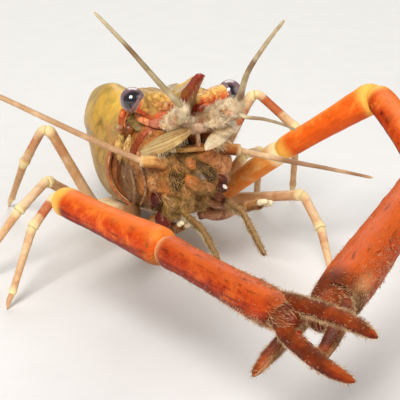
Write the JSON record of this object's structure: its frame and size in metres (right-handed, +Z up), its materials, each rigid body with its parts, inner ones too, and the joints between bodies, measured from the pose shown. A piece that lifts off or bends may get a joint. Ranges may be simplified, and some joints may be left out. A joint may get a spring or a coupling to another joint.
{
  "type": "long-arm river prawn",
  "caption": "Life-size still model of a long-arm river prawn, rearing up on its walking legs with its great claws crossed in front.",
  "frame": {"origin": "centre of the model's box in plan, on the floor that it stands on", "axes": "the head and claws point along -Y, the prawn's left side is towards +X, and +Z is up"},
  "size_m": [0.0642, 0.1112, 0.0294],
  "materials": {
    "shell": "mottled yellow-olive shell, half glossy",
    "underside": "brown hairy mouthparts and thin limbs",
    "rostrum": "red-brown glossy blade",
    "eye_stalk": "orange-red shell",
    "cornea": "dark polished eye surface",
    "plate": "thin pale shell plate",
    "feeler": "beige ringed whip",
    "arm": "vivid orange-red shell, half glossy",
    "leg": "pinkish beige shell with red bands"
  },
  "bodies": {
    "root": {"carapace": "shell", "somite_1": "shell", "somite_2": "shell", "somite_3": "shell", "somite_4": "shell", "somite_5": "shell", "somite_6": "shell", "thorax_underside": "underside", "mouthparts": "underside", "rostrum": "rostrum", "eye_stalk_left": "eye_stalk", "eye_left": "cornea", "antennule_left": "plate", "antennal_scale_left": "plate", "uropod_outer_left": "plate", "uropod_inner_left": "plate", "antenna_left": "underside", "leg_1_left_upper": "underside", "leg_1_left_lower": "underside", "maxilliped_3_left": "underside", "antennule_whip_upper_left": "feeler", "antennule_whip_lower_left": "feeler", "arm_left_ischium": "arm", "arm_left_merus": "arm", "arm_left_carpus": "arm", "arm_left_palm": "arm", "arm_left_finger": "arm", "leg_3_left_upper": "leg", "leg_3_left_lower": "leg", "leg_4_left_upper": "leg", "leg_4_left_lower": "leg", "leg_5_left_upper": "leg", "leg_5_left_lower": "leg", "eye_stalk_right": "eye_stalk", "eye_right": "cornea", "antennule_right": "plate", "antennal_scale_right": "plate", "uropod_outer_right": "plate", "uropod_inner_right": "plate", "antenna_right": "underside", "leg_1_right_upper": "underside", "leg_1_right_lower": "underside", "maxilliped_3_right": "underside", "antennule_whip_upper_right": "feeler", "antennule_whip_lower_right": "feeler", "arm_right_ischium": "arm", "arm_right_merus": "arm", "arm_right_carpus": "arm", "arm_right_palm": "arm", "arm_right_finger": "arm", "leg_3_right_upper": "leg", "leg_3_right_lower": "leg", "leg_4_right_upper": "leg", "leg_4_right_lower": "leg", "leg_5_right_upper": "leg", "leg_5_right_lower": "leg", "antenna_whip_left": "feeler", "antenna_whip_right_near": "feeler", "antenna_whip_right_far": "feeler", "telson": "plate"}
  },
  "joints": []
}
